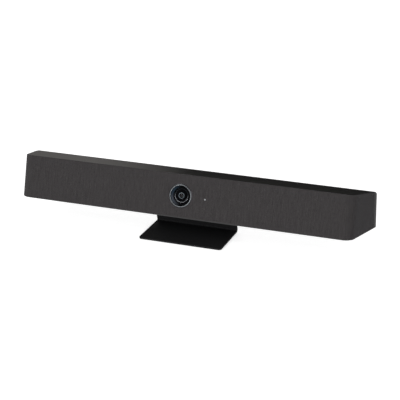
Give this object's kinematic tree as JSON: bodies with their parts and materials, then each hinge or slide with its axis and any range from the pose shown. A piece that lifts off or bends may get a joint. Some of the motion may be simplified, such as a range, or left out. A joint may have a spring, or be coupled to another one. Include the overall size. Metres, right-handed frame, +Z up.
{
  "type": "conference camera",
  "caption": "Wide fabric-fronted video bar with a central shuttered camera, status light, speakers and microphones, pitched up on a bent plate table stand.",
  "frame": {"origin": "on the table under the middle of the part, midway between its front and back limits", "axes": "+Z up, +X along the bar to the right as seen from the front, front faces -Y"},
  "size_m": [0.68, 0.1072, 0.1315],
  "materials": {
    "rear_housing": "fine matt texture",
    "grille_carrier": "matt",
    "grille_cloth": "fine woven cloth",
    "top_panel": "satin",
    "lens_ring": "bevelled, satin",
    "lens_recess": "matt",
    "shutter_blade": "matt",
    "shutter_pinion": "natural resin",
    "shutter_motor": "plated",
    "shutter_guide": "matt",
    "guide_screws": "plated",
    "lens_barrel": "matt black with a bright edge",
    "lens_retainer": "satin",
    "front_element": "coated glass",
    "rear_element": "coated glass",
    "lens_holder": "matt",
    "image_sensor": "glossy",
    "camera_board": "solder mask",
    "camera_screws": "plated",
    "light_pipe": "frosted, lit",
    "light_chip": "glossy",
    "light_board": "solder mask",
    "mic_board": "solder mask",
    "mic_cans": "plated",
    "mic_gaskets": "matt",
    "speaker_box_left": "matt",
    "speaker_box_right": "matt",
    "basket_left": "black",
    "basket_right": "black",
    "magnet_left": "zinc",
    "magnet_right": "zinc",
    "cone_left": "pressed paper",
    "cone_right": "pressed paper",
    "dust_cap_left": "pressed paper",
    "dust_cap_right": "pressed paper",
    "surround_left": "matt",
    "surround_right": "matt",
    "spider_left": "treated cloth",
    "spider_right": "treated cloth",
    "speaker_screws": "plated",
    "speaker_leads": "insulated wire",
    "main_board": "solder mask",
    "chips": "moulded",
    "heat_pad": "soft",
    "heat_sink": "extruded",
    "board_screws": "plated",
    "port_network": "plated shell",
    "port_video": "plated shell",
    "port_data": "plated shell",
    "port_power": "matt",
    "button_power": "matt",
    "button_pair": "matt",
    "switches": "moulded",
    "threaded_inserts": "knurled brass",
    "case_screws": "blackened",
    "ribbon_plugs": "moulded",
    "ribbons": "flat cable",
    "stand_plate": "powder coat",
    "stand_screws": "blackened",
    "foot_pads": "matt"
  },
  "bodies": {
    "bar": {"rear_housing": "rear_housing", "grille_carrier": "grille_carrier", "grille_cloth": "grille_cloth", "top_panel": "top_panel", "lens_ring": "lens_ring", "lens_recess": "lens_recess", "shutter_motor": "shutter_motor", "shutter_guide": "shutter_guide", "guide_screws": "guide_screws", "lens_barrel": "lens_barrel", "lens_retainer": "lens_retainer", "front_element": "front_element", "rear_element": "rear_element", "lens_holder": "lens_holder", "image_sensor": "image_sensor", "camera_board": "camera_board", "camera_screws": "camera_screws", "light_pipe": "light_pipe", "light_chip": "light_chip", "light_board": "light_board", "mic_board": "mic_board", "mic_cans": "mic_cans", "mic_gaskets": "mic_gaskets", "speaker_box_left": "speaker_box_left", "speaker_box_right": "speaker_box_right", "basket_left": "basket_left", "basket_right": "basket_right", "magnet_left": "magnet_left", "magnet_right": "magnet_right", "surround_left": "surround_left", "surround_right": "surround_right", "spider_left": "spider_left", "spider_right": "spider_right", "speaker_screws": "speaker_screws", "speaker_leads": "speaker_leads", "main_board": "main_board", "chips": "chips", "heat_pad": "heat_pad", "heat_sink": "heat_sink", "board_screws": "board_screws", "port_network": "port_network", "port_video": "port_video", "port_data": "port_data", "port_power": "port_power", "switches": "switches", "threaded_inserts": "threaded_inserts", "case_screws": "case_screws", "ribbon_plugs": "ribbon_plugs", "ribbons": "ribbons", "stand_plate": "stand_plate", "stand_screws": "stand_screws", "foot_pads": "foot_pads"},
    "shutter": {"shutter_blade": "shutter_blade"},
    "shutter_gear": {"shutter_pinion": "shutter_pinion"},
    "left_cone": {"cone_left": "cone_left", "dust_cap_left": "dust_cap_left"},
    "right_cone": {"cone_right": "cone_right", "dust_cap_right": "dust_cap_right"},
    "power_key": {"button_power": "button_power"},
    "pairing_key": {"button_pair": "button_pair"}
  },
  "joints": [
    {"name": "shutter_slide", "type": "slide", "parent": "bar", "child": "shutter", "axis": [1, 0, 0], "range_m": [0, 0.032]},
    {"name": "pinion_spin", "type": "hinge", "parent": "bar", "child": "shutter_gear", "pos_m": [-0.016, -0.04445, 0.07191], "axis": [0, 0.9659, -0.2588], "range_deg": [0, 437]},
    {"name": "left_cone_stroke", "type": "slide", "parent": "bar", "child": "left_cone", "axis": [0, -0.9659, 0.2588], "range_m": [-0.0025, 0.0025], "stiffness_N_per_m": 1500, "deforming": ["surround_left", "spider_left"]},
    {"name": "right_cone_stroke", "type": "slide", "parent": "bar", "child": "right_cone", "axis": [0, -0.9659, 0.2588], "range_m": [-0.0025, 0.0025], "stiffness_N_per_m": 1500, "deforming": ["surround_right", "spider_right"]},
    {"name": "power_press", "type": "slide", "parent": "bar", "child": "power_key", "axis": [0, -0.9962, 0.0872], "range_m": [0, 0.00035], "stiffness_N_per_m": 4500},
    {"name": "pairing_press", "type": "slide", "parent": "bar", "child": "pairing_key", "axis": [0, -0.9962, 0.0872], "range_m": [0, 0.00035], "stiffness_N_per_m": 4500}
  ],
  "couplings": [
    {"joint": "pinion_spin", "follows": "shutter_slide", "rad_per_m": 238.1}
  ]
}
